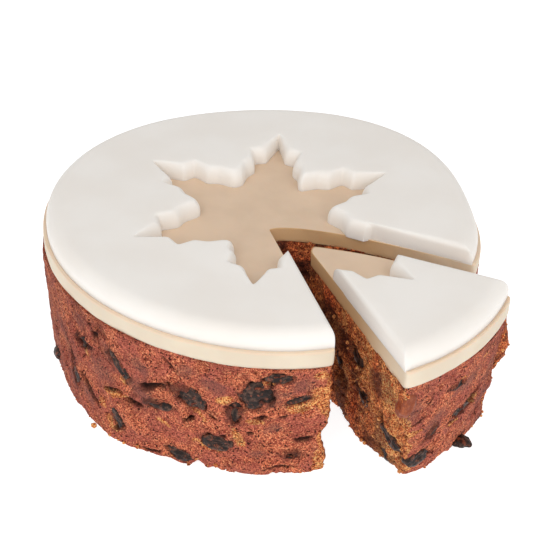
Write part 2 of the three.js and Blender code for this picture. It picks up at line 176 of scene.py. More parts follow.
# Hollows and fissures in the crust: angle, height, length, width, tilt, depth.  They are
# deepest under their upper edge and run out towards the lower one.
MAIN_HOLLOWS = (
    (-117.6, 29.4, 11.5, 2.6, 28, 2.2), (-123.1, 19.5, 7.4, 2, 2, 2.2), (-140.8, 31, 9, 3, 12, 1.6),
    (-140.3, 13, 13.5, 2.8, -40, 3.0), (-129.9, 20.3, 8, 1.8, 8, 1.6), (-128, 5.7, 4.5, 2.2, 50, 1.6),
    (-146.5, 16, 11, 2.2, -44, 1.8), (-108.1, 19.5, 2.2, 1.8, 20, 1.6), (-106.6, 19.8, 2.2, 2.4, 20, 2.0),
    (-98.4, 16, 1.6, 1.6, 0, 1.2), (-89.4, 25.1, 4.2, 2.2, 14, 1.8), (-78.8, 15.6, 5.6, 2, 6, 1.6),
    (-137, 38, 2.8, 2.4, 0, 1.8), (-139.2, 41, 1.8, 1.6, 0, 1.2), (-84, 3, 9, 1.2, 0, 1.2),
    (-118, 1.4, 6, 1.2, 4, 1.2), (-112, 40.6, 6, 1.2, -40, 0.9), (-132.5, 33, 8, 1.1, -44, 0.8),
    (-150, 24, 12, 2, -48, 1.2), (-92, 18.5, 1.4, 1.4, 0, 1.1), (-101, 22.5, 2.4, 1.2, -30, 1.0),
    (-84.1, 25.1, 2.4, 1.6, 30, 0.9),
)
SLICE_HOLLOWS = (
    (-31.6, 22.8, 9, 3, 20, 3.0), (-38.5, 17.5, 6, 2, 14, 1.6), (-50.2, 34.5, 3, 1.4, 60, 1.0),
    (-23, 27, 8, 2.6, 70, 1.4), (-44.5, 10, 6, 1.6, 30, 0.8), (-52.5, 27.8, 5, 1.6, 20, 1.2),
)
# Places where the skin has torn and golden crumb shows: angle, height, length, width, tilt, 0.
MAIN_TORN = (
    (-129.9, 19, 9, 2.8, 6, 0), (-134.2, 11.3, 4, 3, -60, 0), (-126.4, 26.4, 4, 1.6, -50, 0),
    (-79.6, 30, 9, 5, 6, 0), (-75.4, 33.5, 5, 8, 20, 0), (-75, 43, 5, 3, 0, 0), (-102.6, 9.6, 8, 2, -8, 0),
    (-104.6, 22.6, 7, 2, -40, 0), (-94.6, 16, 3, 8, 20, 0), (-90.6, 23.2, 6, 2, -6, 0),
    (-98.2, 30.6, 3, 8, -60, 0), (-113.8, 15, 6, 1.6, -30, 0), (-88.6, 40, 8, 1.6, 14, 0),
    (-74.2, 5, 5, 9, 0, 0), (-130.4, 5.5, 6, 3, -30, 0), (-141, 28.4, 5, 1.6, -40, 0),
)
SLICE_TORN = (
    (-54, 22.6, 8, 2.4, 12, 0), (-55.5, 13.5, 6, 4, 50, 0), (-56.2, 5, 6, 6, 20, 0), (-19.4, 33, 6, 14, 0, 0),
    (-19.6, 12, 5, 6, 0, 0), (-31.6, 20.4, 9, 2, 16, 0), (-38.6, 15.6, 6, 1.4, 10, 0),
    (-30, 39.6, 3, 2, 20, 0), (-40, 37.6, 4, 1.4, 30, 0),
)
# Lumps that stand out of the crust: angle, height, length, width, tilt, height.
MAIN_LUMPS = (
    (-92.7, 3.6, 12, 5, 4, 1.6), (-112, 33, 18, 6, -40, 0.8), (-134, 24, 22, 7, -56, 1.2),
    (-147, 30, 20, 6, -60, 1.0), (-84, 28, 12, 6, 20, 0.6), (-124, 12, 16, 6, -36, 0.9),
    (-118.5, 25.5, 9, 3, -8, 0.6), (-97, 38, 12, 5, -20, 0.5), (-154, 14, 12, 5, -70, 1.0),
)
SLICE_LUMPS = (
    (-19, 34, 13, 5, 86, 2.0), (-21, 18, 7, 5, 0, 1.2), (-26, 8, 9, 4, 10, 1.0), (-46, 5, 14, 5, 16, 0.8),
    (-38, 26, 16, 5, 22, 0.6),
)
# Smooth greyish places where fruit lies just under the skin.
MAIN_STAINS = (
    (-108.3, 40, 6, 3.6, 10, 0), (-101, 36, 8, 5, -20, 0), (-143.7, 38.6, 7, 4, -40, 0),
    (-148, 9.6, 7, 4, -50, 0), (-121, 36, 10, 3, -40, 0), (-79.5, 39, 7, 5, 30, 0), (-90, 9, 4, 2.6, 0, 0),
    (-87, 33.5, 11, 7, 20, 0), (-120, 25, 12, 8, -30, 0), (-133, 26, 12, 6, -50, 0),
    (-152, 26, 12, 5, -60, 0), (-141, 10, 8, 4, -50, 0), (-131, 34, 9, 3, -60, 0), (-86, 20, 5, 3, 20, 0),
)
SLICE_STAINS = (
    (-54.5, 33, 8, 5, 70, 0), (-24.5, 30, 12, 3.4, 80, 0), (-36, 33, 12, 4, 10, 0), (-47, 24, 9, 5, 20, 0),
    (-24, 17, 6, 4, 70, 0),
)

# ---- Noise, as whole arrays ----------------------------------------------------------------
def scatter_value(cell, seed):
    """Even random numbers from 0 to 1, one for each whole-number cell, from mixed-up bits."""
    x, y, z = (np.asarray(cell[..., k] & 0xFFFFFFFF, dtype=np.uint32) for k in range(3))
    mixed = x * np.uint32(374761393) + y * np.uint32(668265263) + z * np.uint32(2246822519)
    mixed = mixed + np.uint32((seed * 3266489917 + 974711) & 0xFFFFFFFF)
    mixed = (mixed ^ (mixed >> np.uint32(15))) * np.uint32(2246822519)
    mixed = (mixed ^ (mixed >> np.uint32(13))) * np.uint32(3266489917)
    return (mixed ^ (mixed >> np.uint32(16))) / 4294967295.0


def noise(points, size, seed):
    """Smooth noise from -1 to 1: random values on a grid of cells, eased between its corners."""
    place = points / size
    cell = np.floor(place).astype(np.int64)
    share = place - cell
    share = share ** 3 * (share * (share * 6 - 15) + 10)
    total = 0
    for corner in np.ndindex(2, 2, 2):
        weight = np.prod(np.where(np.array(corner) == 1, share, 1 - share), axis=-1)
        total = total + weight * scatter_value(cell + np.array(corner), seed)
    return 2 * total - 1


def fractal(points, size, seed, octaves=3):
    """Noise added up over octaves, each half the size and half the strength of the last."""
    layers = [noise(points + 17.3 * k, size / 2 ** k, seed + k) / 2 ** k for k in range(octaves)]
    return sum(layers) / (2 - 2.0 ** (1 - octaves))


def nearest_grain(points, size, seed):
    """Distance, in cells, to the nearest of points scattered one to a cell, and its own number."""
    place = points / size
    cell = np.floor(place).astype(np.int64)
    nearest = np.full(points.shape[:-1], 9.0)
    number = np.zeros(points.shape[:-1])
    for offset in np.ndindex(3, 3, 3):
        near = cell + np.array(offset) - 1
        grain = near + np.stack([scatter_value(near, seed + k) for k in range(3)], axis=-1)
        distance = np.linalg.norm(place - grain, axis=-1)
        closer = distance < nearest
        nearest = np.where(closer, distance, nearest)
        number = np.where(closer, scatter_value(near, seed + 3), number)
    return nearest, number


def pores(points, size, low, high, keep, seed):
    """Round pits: 1 in the middle of a pore and 0 at its edge, for the kept share of grains.

    A kept grain's radius runs from low to high mm with its number, and the pit's section is
    one minus the square of the distance from the grain in radii.
    """
    distance, number = nearest_grain(points, size, seed)
    radius = np.where(number < keep, low + (high - low) * number / keep, 1e-6)
    return np.clip(1 - (distance * size / radius) ** 2, 0, 1)


# ---- Plans and grids -----------------------------------------------------------------------
def polar(angle, radius):
    """Points of the plan at an angle in degrees and a radius: cosine and sine times the radius."""
    a = np.radians(angle)
    return np.stack([radius * np.cos(a), radius * np.sin(a)], axis=-1)


def crumb_top(flat):
    """Top of the crumb, a shallow dome: it falls with the square of the distance from the axis."""
    return CRUMB_RIM + CRUMB_DOME * (1 - (flat ** 2).sum(-1) / CAKE_RADIUS ** 2)


def side_waves(angle, z):
    """Low swellings of the baked side: two sine waves round it that lean with the height."""
    wide = 0.35 * np.sin(np.radians(7 * angle) + z / 9)
    return wide + 0.25 * np.sin(np.radians(16 * angle) - z / 6)


def even_steps(low, high, step):
    """Shares from 0 to 1 whose spacing along low..high is step(place), by adding up 1/step."""
    place = np.linspace(low, high, 2000)
    count = np.concatenate([[0], np.cumsum(np.diff(place) / step((place[1:] + place[:-1]) / 2))])
    wanted = np.linspace(0, count[-1], int(round(count[-1])) + 1)
    return (np.interp(wanted, count, place) - low) / (high - low)


def evenly(length, step):
    """Shares from 0 to 1 along a length in mm, all about one step apart."""
    return even_steps(0, length, lambda place: step + 0 * place)


def cut_line(start, end, bulge, t, h):
    """Straight line from start to end plus a bulge to its left, for shares t along it."""
    run = end - start
    left = np.stack([-run[..., 1], run[..., 0]], -1) / np.linalg.norm(run, axis=-1, keepdims=True)
    return start + run * t[..., None] + left * bulge(t, h)[..., None]


def plan_loop(part, t_arc, t_cut, h, inset, turns, bulge_in, bulge_out):
    """Closed plans at shares h of the height: rim arc, cut in, blunt tip and cut out.

    The rim's radius is the part's own less the inset; both cuts are cut lines between the
    arc's ends and the tip.  Rows are heights and columns go round anticlockwise.
    """
    h = np.atleast_1d(h)[:, None]
    from_turn, to_turn = turns(h)
    low, high = part["arc"][0] + from_turn, part["arc"][1] + to_turn
    angle = low + (high - low) * t_arc[None, :]
    rim = polar(angle, part["rim"](angle) - inset(t_arc[None, :], h, angle))
    tip_in = np.array(part["tip_in"])[None, None, :]
    tip_out = np.array(part["tip_out"])[None, None, :]
    share = t_cut[None, 1:]
    cut_in = cut_line(rim[:, -1:], tip_in, bulge_in, share + 0 * h, h)
    blunt = tip_in + (tip_out - tip_in) * np.linspace(0, 1, 6)[None, 1:, None] + 0 * h[..., None]
    cut_out = cut_line(tip_out + 0 * rim[:, :1], rim[:, :1], bulge_out, share[:, :-1] + 0 * h, h)
    return np.concatenate([rim, cut_in, blunt, cut_out], axis=1)


def soften(loop, passes):
    """Rounds the corners of closed rows of points: each moves halfway to its neighbours' mean."""
    for _ in range(passes):
        loop = loop / 2 + (np.roll(loop, 1, axis=1) + np.roll(loop, -1, axis=1)) / 4
    return loop


def outward(side):
    """Unit normals of a grid that is closed round its rows: tangent round it times tangent up."""
    round_it = np.roll(side, -1, axis=1) - np.roll(side, 1, axis=1)
    up = np.gradient(side, axis=0)
    normal = np.cross(round_it, up)
    return normal / np.maximum(np.linalg.norm(normal, axis=-1, keepdims=True), 1e-9)


def share_on_cuts(columns, on_arc, start, end):
    """Share from 1 on the cuts' columns to 0 on the arc's, eased over the columns given for each end."""
    column = np.arange(columns)
    return (smooth(on_arc + start[0], on_arc + start[1], column)
            * smooth(columns + end[0], columns + end[1], column))


def drawn_in(edge, middle, factor, height):
    """An edge's plan drawn in towards the middle by a factor, at heights given or worked out from it."""
    flat = middle + (edge[:, :2] - middle) * factor
    z = height(flat) if callable(height) else height
    return np.concatenate([flat, z[:, None]], axis=-1)


def grid_faces(rows, columns, closed):
    """Quads of a grid of points numbered row by row; a closed one joins its last column to the first."""
    i = np.arange(columns if closed else columns - 1)
    start = (np.arange(rows - 1) * columns)[:, None]
    a, b = start + i, start + (i + 1) % columns
    return np.stack([a, b, b + columns, a + columns], axis=-1).reshape(-1, 4)


def closed_body(rows, low_pole, high_pole):
    """Points and faces of a stack of closed rows with a pole at each end: quads and two fans."""
    count, columns = rows.shape[:2]
    points = np.concatenate([rows.reshape(-1, 3), [low_pole], [high_pole]])
    i = np.arange(columns)
    j = (i + 1) % columns
    last = (count - 1) * columns
    low = np.stack([j, i, np.full(columns, count * columns)], axis=-1)
    high = np.stack([last + i, last + j, np.full(columns, count * columns + 1)], axis=-1)
    return points, [*grid_faces(count, columns, True).tolist(), *low.tolist(), *high.tolist()]


def shell(top, bottom):
    """Closed body between two open grids of one size: the top, the bottom turned over, and a wall."""
    rows, columns = top.shape[:2]
    size = rows * columns
    faces = grid_faces(rows, columns, False)
    number = np.arange(size).reshape(rows, columns)
    edge = np.concatenate([number[0], number[1:, -1], number[-1, -2::-1], number[-2:0:-1, 0]])
    after = np.roll(edge, -1)
    wall = np.stack([edge, edge + size, after + size, after], axis=-1)
    faces = np.concatenate([faces, faces[:, ::-1] + size, wall])
    return np.concatenate([top.reshape(-1, 3), bottom.reshape(-1, 3)]), faces.tolist()


def moved(points, part):
    """The slice is made in the cake's own place, then turned about the axis and moved out."""
    if part is MAIN:
        return points
    x, y, turn = SLICE_MOVE
    c, s = np.cos(np.radians(turn)), np.sin(np.radians(turn))
    return points @ np.array([[c, s, 0], [-s, c, 0], [0, 0, 1]]) + np.array([x, y, 0])


def mesh_object(name, points, faces, material, masks=None):
    """A mesh from points in mm and faces, its float masks as point attributes."""
    mesh = bpy.data.meshes.new(name)
    mesh.from_pydata((np.asarray(points) * MM).tolist(), [], faces)
    for label, values in (masks or {}).items():
        layer = mesh.attributes.new(label, "FLOAT", "POINT")
        layer.data.foreach_set("value", np.ascontiguousarray(values, dtype=np.float32).ravel())
    mesh.materials.append(material)
    mesh.shade_smooth()
    piece = bpy.data.objects.new(name, mesh)
    bpy.context.scene.collection.objects.link(piece)
    return piece


def finished(piece, slot, *nodes):
    """Rides the piece on the one body and hides the solids that it stands for; the slot is not used."""
    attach(piece, "root")
    if nodes:
        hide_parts(*nodes)


# ---- Seats of fruit and hollows --------------------------------------------------------------
def crumb_inset(part):
    """How far the crumb's side is inside the round: half a millimetre and its inset, less its waves."""
    return lambda t, h, angle: 0.5 + part["inset"](t, h, angle) - side_waves(angle, h * CRUMB_RIM)


def seat(place, out, row):
    """Frame of an oval that lies on a face: level, then turned about the outward direction."""
    along, up = np.cross([0, 0, 1], out), np.array([0.0, 0.0, 1.0])
    tilt = np.radians(row[4])
    along = along * np.cos(tilt) + up * np.sin(tilt)
    return dict(place=place, out=out, along=along, across=np.cross(out, along),
                half=(row[2] / 2, row[3] / 2), last=row[5])


def on_crust(part, row):
    """Seat on the baked side at an angle and a height."""
    angle, z = float(row[0]), float(row[1])
    low, high = part["arc"]
    t = (angle - low + (360 if angle < low else 0)) / (high - low)
    radius = part["rim"](angle) - crumb_inset(part)(t, z / CRUMB_RIM, angle)
    x, y = polar(angle, radius)
    return seat(np.array([x, y, z]), np.append(polar(angle, 1.0), 0), row)


def on_cut(part, row):
    """Seat on the cut that leaves the tip, at a share of the way to the rim and a height."""
    share, h = float(row[0]), np.array([float(row[1]) / CRUMB_RIM])
    angle = part["arc"][0] + part["turns"](h)[0]
    corner = polar(angle, part["rim"](angle) - crumb_inset(part)(np.array([0.0]), h, angle))
    tip = np.array([part["tip_out"]])
    along = np.array([share, share + 0.01])
    line = cut_line(tip[:, None], corner[:, None], part["crumb_bulge_out"], along[None], h[:, None])[0]
    run = (line[1] - line[0]) / np.linalg.norm(line[1] - line[0])
    return seat(np.array([*line[0], row[1]]), np.array([run[1], -run[0], 0.0]), row)


def oval_place(points, oval, grow=0.0):
    """Place of points in an oval's own frame, in half lengths, and whether they are near its face."""
    offset = points - oval["place"]
    x = offset @ oval["along"] / (oval["half"][0] + grow)
    y = offset @ oval["across"] / (oval["half"][1] + grow)
    return x, y, np.abs(offset @ oval["out"]) < FACE_REACH


def inside_oval(points, ragged, oval, grow=0.0, soft=0.25):
    """Share from 1 inside an oval on a face to 0 outside, by the distance in half lengths plus ragged."""
    x, y, near = oval_place(points, oval, grow)
    return near * smooth(1 + soft, 1 - soft, np.sqrt(x * x + y * y) + ragged)


def far_side(rows):
    """The crust's rows again round the far side: all turned about the cake's axis, all upside
    down, and some upside down once more beside the notch."""
    turned_on = [(row[0] + 175, *row[1:]) for row in rows]
    upside_down = [(20 - row[0], 46 - row[1], *row[2:]) for row in rows]
    beside_notch = [(-92 - row[0], 46 - row[1], *row[2:]) for row in rows if -113 < row[0] < -83]
    return turned_on + upside_down + beside_notch


# ---- Crumb -----------------------------------------------------------------------------------
def crust_relief(points):
    """Baked skin: slow swellings and lumps of noise, fine grain, two sizes of pores, and cracks.

    Cracks follow the zero lines of noise that is drawn out along a slant down to the right,
    and are strongest at the front left.  Gives the height and the darkness: painted shade in
    pores, cracks and valleys and towards the far left, and darker skin in patches and by the notch.
    """
    large = pores(points, 3.4, 0.4, 1.0, 0.3, 11)
    small = pores(points, 1.5, 0.25, 0.5, 0.4, 12)
    slow = 0.55 * noise(points, 13, 1)
    lumps = fractal(points, 4.5, 2)
    grains = fractal(points, 1.3, 5)
    angle = np.arctan2(points[..., 1], points[..., 0])
    round_it, up = angle * CAKE_RADIUS, points[..., 2]
    slanted = np.stack([0.3 * (0.64 * round_it - 0.77 * up), 0.77 * round_it + 0.64 * up, 0 * up], axis=-1)
    slanted = slanted + 2.0 * np.stack([noise(points, 7, 14 + k) for k in range(3)], axis=-1)
    turn = np.degrees(angle)
    left = 0.35 + 0.65 * bell(turn, -140, 28)
    crack = left * smooth(0.86, 0.98, 1 - np.abs(noise(slanted, 8, 13)))
    crack = crack * smooth(-0.2, 0.3, noise(points, 12, 17))
    height = slow + 0.36 * lumps + 0.3 * grains - 1.1 * large - 0.5 * small - 0.9 * crack
    # Painted shade: darkest in pores and cracks, then in the valleys of the lumps and grains.
    dark = np.maximum(np.maximum(large, 0.7 * small), 0.9 * crack)
    dark = dark + 0.3 * smooth(0.1, 0.7, -lumps) + 0.35 * smooth(0.15, 0.6, -grains)
    # Painted shade towards the far left, and the skin darker beside the notch.
    dark = dark + 0.4 * smooth(-128, -160, turn) * (turn < 0) + 0.3 * bell(turn, -19, 7)
    # Darker patches of the skin's own tone.
    patch = smooth(0.25, 0.5, noise(points * [1, 1, 1.5], 9, 18)) * smooth(-0.2, 0.3, noise(points, 3, 19))
    dark = dark + 0.35 * patch
    return height, np.clip(dark, 0, 1)


def torn_relief(points):
    """Torn open crumb: round grains of two sizes with creases between them, and deep holes.

    Grains stand out by how near the nearest scattered point is; holes are pores up to 2 mm in
    radius.  Gives the height and the darkness, which is painted shade in the creases and holes.
    """
    bent = points + 0.9 * np.stack([noise(points, 2.4, 35 + k) for k in range(3)], axis=-1)
    coarse, _ = nearest_grain(bent, 2.6, 31)
    fine, _ = nearest_grain(bent, 1.05, 41)
    holes = pores(bent, 5.0, 0.7, 2.0, 0.42, 51)
    height = 1.2 * (0.55 - coarse) + 0.6 * (0.55 - fine) + 0.9 * noise(points, 6.5, 61)
    # Painted shade in the creases between grains and in the holes.
    dark = smooth(0.35, 0.85, coarse) * 0.6 + smooth(0.4, 0.9, fine) * 0.5
    return height - 1.7 * holes, np.clip(np.maximum(dark, holes), 0, 1)


def foot_lift(points, angle, lifts):
    """How far the ragged lower edge of the crumb is above the plate: bells along the rim and noise."""
    waves = 0.8 * noise(points, 9, 71) + 0.7 * noise(points, 3.2, 72) + 0.3 * noise(points, 1.4, 73)
    return np.clip(waves - 0.3, 0, 2) + sum(high * bell(angle, at, wide) for at, wide, high in lifts)


def torn_share(side, on_cuts, golden, ragged, ovals):
    """Where the crumb is torn open: the cuts, the golden edges and the torn ovals, roughened."""
    torn = np.clip(on_cuts + golden, 0, 1)
    for oval in ovals:
        torn = np.maximum(torn, 0.95 * inside_oval(side, 0.9 * ragged, oval, 0, 0.5))
    return smooth(0.3, 0.7, torn + 0.35 * ragged * (torn > 0.02))


def crumb_surface(side, on_cuts, torn, ragged, seats):
    """Relief of the crumb in mm and its masks: pit and dark, both mainly painted shade, spots and stains.

    The relief is the crust's on the baked side and the torn crumb's where it is torn.
    Greyish spots flatten it, hollows push it in with a lip above them, lumps raise it, and
    fruit sits in pockets, over part of whose edge a film of crumb closes.
    """
    skin, skin_shade_and_tone = crust_relief(side)
    open_crumb, open_shade = torn_relief(side)
    spot = np.clip(sum(inside_oval(side, 0.5 * ragged, oval, 0.4, 0.6) for oval in seats["stains"]), 0, 1)
    skin = skin * (1 - 0.5 * spot)
    relief = skin * (1 - torn) + open_crumb * torn * (0.45 + 0.55 * on_cuts)
    dark = skin_shade_and_tone * (1 - torn) * (1 - 0.6 * spot) + open_shade * torn
    # pit paints the shade in the hollows, deepest under their upper edge, and in the fruit's pockets.
    pit, stain = np.zeros_like(relief), np.zeros_like(relief)
    for oval in seats["hollows"]:
        inside = inside_oval(side, 0.45 * ragged, oval, 0.1, 0.3)
        slope = smooth(-1.5, 0.1, oval_place(side, oval)[1])
        lip = inside_oval(side - 1.3 * oval["across"], 0.3 * ragged, oval, 0.4, 0.5)
        relief = relief + 0.6 * lip * (1 - inside) - 0.7 * inside * oval["last"] * slope
        shadow = inside_oval(side, 0.55 * ragged, oval, 0.3, 0.45) * (0.62 + 0.38 * slope)
        pit = np.maximum(pit, shadow)
    for oval in seats["lumps"]:
        relief = relief + oval["last"] * inside_oval(side, 0.3 * ragged, oval, 0, 0.7)
    film = smooth(-0.05, 0.2, noise(side, 3, 83))
    for oval in seats["fruit"]:
        x, y, _ = oval_place(side, oval)
        cover = film * smooth(0.3, 0.65, np.hypot(x, y)) * (oval["last"] < WELL_PROUD)
        pocket = inside_oval(side, 0.42 * ragged, oval, -0.15, 0.14)
        inside = pocket * (1 - cover)
        relief = relief * (1 - inside) - 1.5 * inside + 0.8 * pocket * cover
        # Painted shade in the open pocket round the fruit.
        pit = np.maximum(pit, inside)
        stain = np.maximum(stain, inside_oval(side, 0.7 * ragged, oval, 0.4, 0.4))
    return relief, dict(pit=pit, dark=dark, spot=spot, stain=stain * (1 - pit))


def crumb_piece(name, part, spacing, seats, golden, gold, material):
    """Crumb of one part: stacked plans, displaced along their normals by the relief.

    The relief fades under the marzipan, and the ragged foot squeezes the side up from the
    plate.  Gives the piece, its displaced side, the outward directions and the torn share.
    """
    t_arc, t_cut, row_count = spacing
    h = np.linspace(0, 1, row_count)
    flat = plan_loop(part, t_arc, t_cut, h, crumb_inset(part), part["turns"],
                     part["crumb_bulge_in"], part["crumb_bulge_out"])
    flat = soften(flat, 3)
    side = np.concatenate([flat, (h[:, None] * crumb_top(flat))[..., None]], axis=-1)
    normal = outward(side)
    column = np.arange(side.shape[1])
    t = np.interp(column, np.arange(len(t_arc)), t_arc, right=1)[None, :]
    on_cuts = share_on_cuts(len(column), len(t_arc), (-3, 1), (2, -2))[None, :]
    ragged = 0.6 * noise(side, 2.2, 81) + 0.4 * noise(side, 0.9, 82)
    golden_edge = (column < len(t_arc)) * golden(side, t)
    torn = torn_share(side, on_cuts, golden_edge, ragged, seats["torn"])
    relief, masks = crumb_surface(side, on_cuts, torn, ragged, seats)
    under_marzipan = smooth(1.0, 0.93, h)[:, None]
    relief = np.minimum(relief, relief * under_marzipan + 0.2)
    side = side + normal * relief[..., None]
    angle = np.degrees(np.arctan2(side[0, :, 1], side[0, :, 0]))
    lift = foot_lift(side[0] * [1, 1, 0], angle, part["lifts"])
    side[..., 2] = lift + (1 - lift / CRUMB_RIM) * np.clip(side[..., 2], 0, None)
    side[..., 2] = np.minimum(side[..., 2], crumb_top(side[..., :2]))

    middle = np.array(part["middle"])
    under = [drawn_in(side[0], middle, f, side[0, :, 2] * max(0, (f - 0.9) / 0.1) ** 2)
             for f in (0.3, 0.6, 0.85, 0.93, 0.97)]
    over = [drawn_in(side[-1], middle, f, crumb_top) for f in (0.97, 0.66, 0.33)]
    rows = np.concatenate([np.array(under), side, np.array(over)])
    points, faces = closed_body(rows, [*middle, 0], [*middle, crumb_top(middle)])
    bright = gold(side, on_cuts)
    masks["stain"] = np.maximum(masks["stain"], cut_patches(side, bright, on_cuts))
    masks.update(torn=torn, gold=bright)
    for label, mask in masks.items():
        ends = np.repeat(mask[:1], len(under), 0), np.repeat(mask[-1:], len(over), 0)
        masks[label] = np.append(np.concatenate([ends[0], mask, ends[1]]), [0, 0])
    return mesh_object(name, moved(points, part), faces, material, masks), side, normal, torn


# ---- Marzipan and icing ----------------------------------------------------------------------
def marzipan_piece(name, part, t_arc, t_cut, material):
    """Marzipan: stacked plans with eased edges and slow hand-rolled waves, between crumb and icing.

    The profile gives, for each share of the thickness, the inset of that row.  The masks are
    the share of the height, and the painted shade on the cuts, deepest towards the tip.
    the share of the height, and how much a cut has browned, most towards the tip.
    """
    def bottom(flat):
        return crumb_top(flat) - SUNK
    share = np.array([0, 0.06, 0.16, 0.3, 0.45, 0.6, 0.75, 0.88, 0.96, 1.0])
    inset = np.interp(share, [0, 0.06, 0.16, 0.3, 0.75, 0.88, 0.96, 1],
                      [1.1, 0.5, 0.12, 0, 0.02, 0.04, 0.08, 0.22])
    loops = [plan_loop(part, t_arc, t_cut, 1.0, lambda t, h, a, i=i: i + 0 * t * h, lambda h: (0 * h, 0 * h),
                       part["bulge_in"], part["bulge_out"])[0] for i in inset]
    flat = soften(np.array(loops), 4)
    z = bottom(flat) + (MARZIPAN_TOP - bottom(flat)) * share[:, None]
    side = np.concatenate([flat, z[..., None]], axis=-1)
    eased = (smooth(0, 0.1, share) * smooth(1, 0.9, share))[:, None]
    wave = 0.16 * noise(side * [1, 1, 1.6], 9, 91) + 0.08 * noise(side, 3, 92)
    side = side + outward(side) * (wave * eased)[..., None]

    def rolled(flat):
        level = np.append(flat, 0 * flat[:, :1], axis=-1)
        return MARZIPAN_TOP - 0.05 + 0.05 * noise(level, 16, 93)
    middle = np.array(part["middle"])
    under = [drawn_in(side[0], middle, f, bottom) for f in (0.33, 0.66, 0.97)]
    over = [drawn_in(side[-1], middle, f, rolled) for f in np.linspace(0.985, 0.05, 34)]
    rows = np.concatenate([np.array(under), side, np.array(over)])
    points, faces = closed_body(rows, [*middle, bottom(middle)], [*middle, MARZIPAN_TOP - 0.05])
    height = np.concatenate([np.repeat(0, len(under)), share * 0.97, np.repeat(1, len(over))])
    height = np.append(np.repeat(height, rows.shape[1]), [0, 1])
    # Painted shade of the narrow notch on the cut faces, deepest towards the tip.
    notch_shade = 0.25 + 0.75 * smooth(76, 36, np.hypot(*side[0, :, :2].T))
    notch_shade = notch_shade * share_on_cuts(rows.shape[1], len(t_arc), (-2, 3), (1, -4))
    notch_shade = np.append(np.tile(notch_shade, len(rows)), [0, 0])
    return mesh_object(name, moved(points, part), faces, material, dict(height=height, notch_shade=notch_shade))


def star_corners():
    """Corners of the snowflake's wall, arm after arm: foot x y, edge x y and rim angle."""
    half = np.array(HALF_ARM)
    mirrored = half[1:][::-1] * np.array([1, -1, 1, -1, -1])
    arm = np.concatenate([mirrored, half[:-1]])
    rows = []
    for turn in ARM_ANGLES:
        c, s = np.cos(np.radians(turn)), np.sin(np.radians(turn))
        spin = np.array([[c, s], [-s, c]]) * CAKE_RADIUS
        foot, edge = arm[:, :2] @ spin + STAR_MIDDLE, arm[:, 2:4] @ spin + STAR_MIDDLE
        rows.append(np.concatenate([foot, edge, arm[:, 4:] + turn], axis=1))
    corners = np.concatenate(rows)
    for place, x, y in STRAYS:
        corners[place] += [x, y, x, y, 0]
    return corners


def cut_column(a, b, tip, corner):
    """Where the outline between two corners crosses the straight cut from tip to corner."""
    across = np.array([-(corner - tip)[1], (corner - tip)[0]])

    def meet(p, q):
        side_p, side_q = (p - tip) @ across, (q - tip) @ across
        return p + (q - p) * side_p / (side_p - side_q)
    return np.concatenate([meet(a[:2], b[:2]), meet(a[2:4], b[2:4]), [(a[4] + b[4]) / 2]])


def resampled(run, step, rounding):
    """Columns every step mm along the outline, its corners rounded by averaging over neighbours.

    The step is measured as the mean of the foot's and the edge's lengths, and rounding gives
    the passes of averaging for the foot and for the edge.
    """
    foot, edge = (np.linalg.norm(np.diff(run[:, k:k + 2], axis=0), axis=1) for k in (0, 2))
    place = np.concatenate([[0], np.cumsum((edge + foot) / 2)])
    wanted = np.linspace(0, place[-1], int(place[-1] / step) + 1)
    columns = np.stack([np.interp(wanted, place, run[:, k]) for k in range(5)], axis=1)
    for k, passes in enumerate((rounding[0], rounding[0], rounding[1], rounding[1], rounding[1])):
        for _ in range(passes):
            columns[1:-1, k] = columns[1:-1, k] / 2 + (columns[:-2, k] + columns[2:, k]) / 4
    return columns


def rounded_drop(distance, rounding):
    """Drop below a flat top near an edge that is a quarter of an ellipse, wide by deep."""
    wide, deep = rounding
    t = np.clip(distance / wide, 0, 1)
    return deep * (1 - np.sqrt(1 - (1 - t) ** 2))


